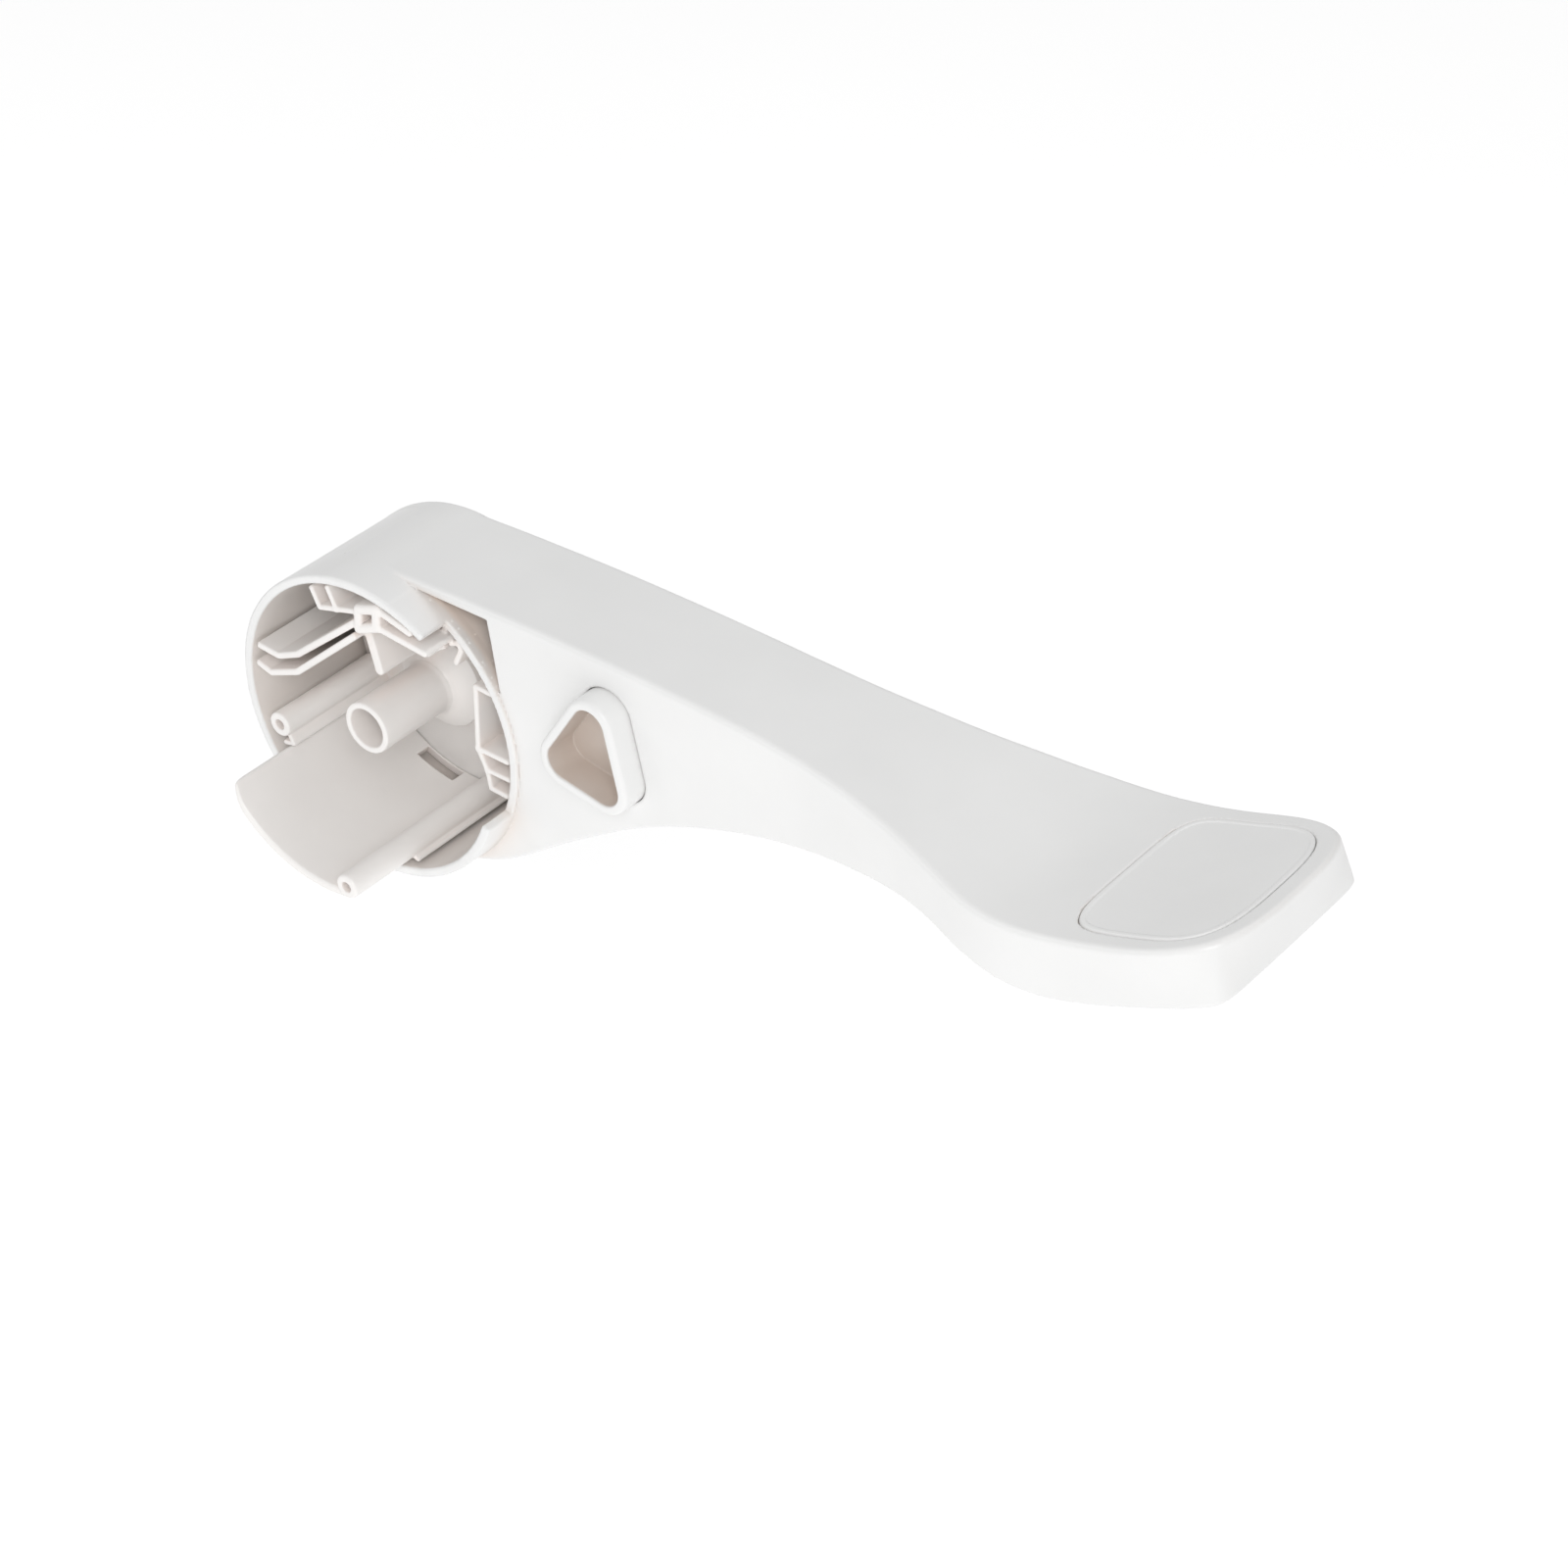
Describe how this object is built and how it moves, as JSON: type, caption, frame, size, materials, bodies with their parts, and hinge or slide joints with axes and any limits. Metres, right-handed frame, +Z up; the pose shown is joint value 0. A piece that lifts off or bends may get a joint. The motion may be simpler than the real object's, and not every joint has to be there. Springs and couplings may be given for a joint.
{
  "type": "stair gate latch",
  "caption": "Lever latch for a stair gate: an open round hub with a locating tongue, a hollow arm with a push-pull lock knob, and a dished paddle.",
  "frame": {"origin": "on the hub's axis, in the plane of the drum's open rim", "axes": "+X along the lever to the paddle's tip, -Y out of the hub's open side, +Z up with the lever at rest"},
  "size_m": [0.173, 0.0467, 0.0554],
  "materials": {
    "shell_plastic": "white moulded plastic, satin gloss",
    "core_plastic": "white moulded plastic, natural, satin",
    "pad_plastic": "white soft-touch inlay, fine texture",
    "nylon": "natural nylon",
    "steel": "zinc plated steel",
    "spring_steel": "drawn spring wire",
    "rubber": "matte rubber"
  },
  "bodies": {
    "hub": {"hub_core": "core_plastic", "locating_tongue": "core_plastic", "tongue_screws": "steel", "keeper_block": "steel", "stop_bumper": "rubber", "thrust_washer": "nylon", "return_spring": "spring_steel", "pivot_washer": "steel", "pivot_screw": "steel"},
    "lever": {"lever_shell": "shell_plastic", "underside_cover": "shell_plastic", "cover_screws": "steel", "grip_pad": "pad_plastic", "pivot_bush": "nylon", "hub_cap": "shell_plastic", "stop_pin": "steel", "knob_guide": "nylon", "bolt_guide": "nylon", "detent_leaf": "spring_steel"},
    "knob": {"lock_knob": "shell_plastic"},
    "bolt": {"lock_bolt": "steel", "bolt_drive_pin": "steel"}
  },
  "joints": [
    {"name": "lever_lift", "type": "hinge", "parent": "hub", "child": "lever", "pos_m": [0, 0, 0], "axis": [0, -1, 0], "range_deg": [0, 70], "stiffness_Nm_per_rad": 0.15, "springref_deg": -28.65, "deforming": ["return_spring"]},
    {"name": "knob_push", "type": "slide", "parent": "lever", "child": "knob", "axis": [0, 1, 0], "range_m": [0, 0.0035]},
    {"name": "bolt_slide", "type": "slide", "parent": "lever", "child": "bolt", "axis": [-1, 0, 0], "range_m": [0, 0.0035]}
  ],
  "couplings": [
    {"joint": "bolt_slide", "follows": "knob_push", "ratio": 1}
  ]
}
